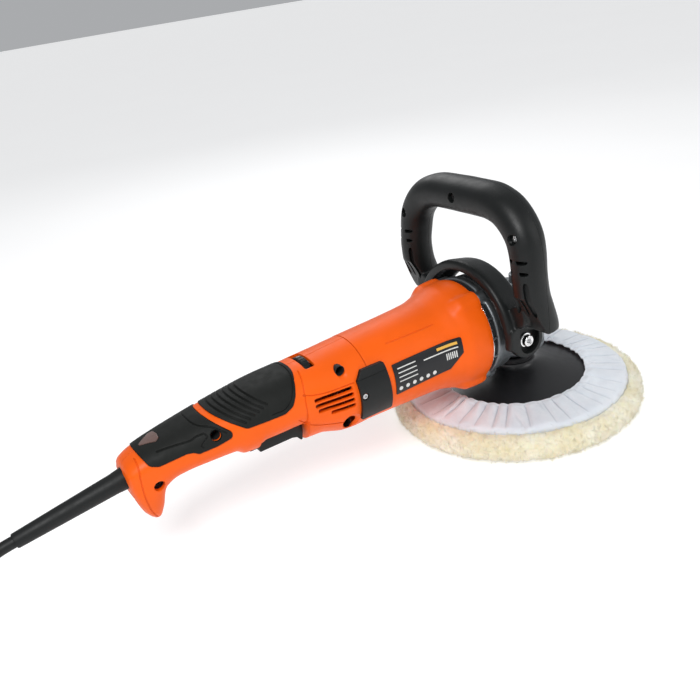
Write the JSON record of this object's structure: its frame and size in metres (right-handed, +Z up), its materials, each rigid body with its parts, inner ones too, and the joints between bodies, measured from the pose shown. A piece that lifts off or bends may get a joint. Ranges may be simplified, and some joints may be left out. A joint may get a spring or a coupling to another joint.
{
  "type": "rotary polisher",
  "caption": "Corded rotary polisher: tubular motor body, right-angle gear head, tilting D-shaped loop handle and a round backing plate with a wool bonnet.",
  "frame": {"origin": "on the spindle's axis at the bonnet's working face", "axes": "+X from the tail to the gear head, parallel to the motor's axis; +Y to the tool's left; +Z up, away from the work"},
  "size_m": [0.5787, 0.22, 0.2108],
  "materials": {
    "orange_plastic": "moulded ABS, satin",
    "soft_grip": "overmoulded soft-touch rubber, matt",
    "black_plastic": "glass-filled nylon, satin",
    "glossy_black": "moulded backing plate, glossy",
    "label": "printed film, plain",
    "lens": "translucent indicator lens",
    "aluminium": "die-cast, satin",
    "steel": "machined or zinc plated",
    "copper": "copper and brass parts of the motor",
    "carbon": "carbon brush",
    "foam": "foam interface pad",
    "white_fabric": "gathered white polyester cloth",
    "wool": "cream wool pile",
    "cable_rubber": "rubber cord and guard, matt"
  },
  "bodies": {
    "body": {"motor_housing": "orange_plastic", "handle_shell_left": "orange_plastic", "handle_shell_right": "orange_plastic", "front_grip": "soft_grip", "rear_cover": "soft_grip", "brush_cover_left": "black_plastic", "brush_cover_right": "black_plastic", "exhaust_ring": "black_plastic", "switch_body": "black_plastic", "speed_control_board": "black_plastic", "rating_label": "label", "indicator_lens": "lens", "gearbox_housing": "aluminium", "gearbox_cover": "aluminium", "brush_cover_screw_left": "steel", "brush_cover_screw_right": "steel", "handle_screw_upper": "steel", "handle_screw_lower": "steel", "handle_screw_rear": "steel", "handle_screw_tail": "steel", "gearbox_screw_upper_left": "steel", "gearbox_screw_upper_right": "steel", "gearbox_screw_lower_left": "steel", "gearbox_screw_lower_right": "steel", "spindle_lower_bearing": "steel", "spindle_upper_bearing": "steel", "armature_front_bearing": "steel", "armature_rear_bearing": "steel", "stator_core": "steel", "handle_bolt_left": "steel", "handle_bolt_right": "steel", "field_coil_upper": "copper", "field_coil_lower": "copper", "brush_holder_left": "copper", "brush_holder_right": "copper", "carbon_brush_left": "carbon", "carbon_brush_right": "carbon", "cord_guard": "cable_rubber", "power_cable": "cable_rubber"},
    "armature": {"armature_shaft": "steel", "armature_core": "steel", "commutator": "copper", "cooling_fan": "black_plastic", "pinion_gear": "steel"},
    "spindle_group": {"spindle": "steel", "crown_gear": "steel", "backing_plate": "glossy_black", "foam_pad": "foam", "bonnet_fabric": "white_fabric", "wool_bonnet": "wool"},
    "trigger": {"trigger": "black_plastic"},
    "lock_on_button": {"lock_on_button": "black_plastic"},
    "speed_dial": {"speed_dial": "black_plastic"},
    "spindle_lock": {"spindle_lock_button": "black_plastic", "spindle_lock_spring": "steel"},
    "d_handle": {"d_handle_rear_shell": "black_plastic", "d_handle_front_shell": "black_plastic", "d_handle_screw_left": "steel", "d_handle_screw_middle": "steel", "d_handle_screw_right": "steel"}
  },
  "joints": [
    {"name": "spindle_spin", "type": "hinge", "parent": "body", "child": "spindle_group", "pos_m": [0, 0, 0.045], "axis": [0, 0, 1], "continuous": true},
    {"name": "armature_spin", "type": "hinge", "parent": "body", "child": "armature", "pos_m": [-0.1, 0, 0.09], "axis": [1, 0, 0], "continuous": true},
    {"name": "trigger_pull", "type": "hinge", "parent": "body", "child": "trigger", "pos_m": [-0.26, 0, 0.079], "axis": [0, -1, 0], "range_deg": [0, 7]},
    {"name": "lock_on_press", "type": "slide", "parent": "body", "child": "lock_on_button", "axis": [0, -1, 0], "range_m": [0, 0.0025]},
    {"name": "speed_dial_turn", "type": "hinge", "parent": "body", "child": "speed_dial", "pos_m": [-0.2035, 0, 0.107], "axis": [1, 0, 0], "range_deg": [0, 270]},
    {"name": "spindle_lock_press", "type": "slide", "parent": "body", "child": "spindle_lock", "axis": [0, 0, -1], "range_m": [0, 0.004], "deforming": ["spindle_lock_spring"]},
    {"name": "d_handle_tilt", "type": "hinge", "parent": "body", "child": "d_handle", "pos_m": [-0.033, 0, 0.0885], "axis": [0, 1, 0], "range_deg": [-5, 20]}
  ],
  "couplings": [
    {"joint": "armature_spin", "follows": "spindle_spin", "ratio": -4}
  ]
}
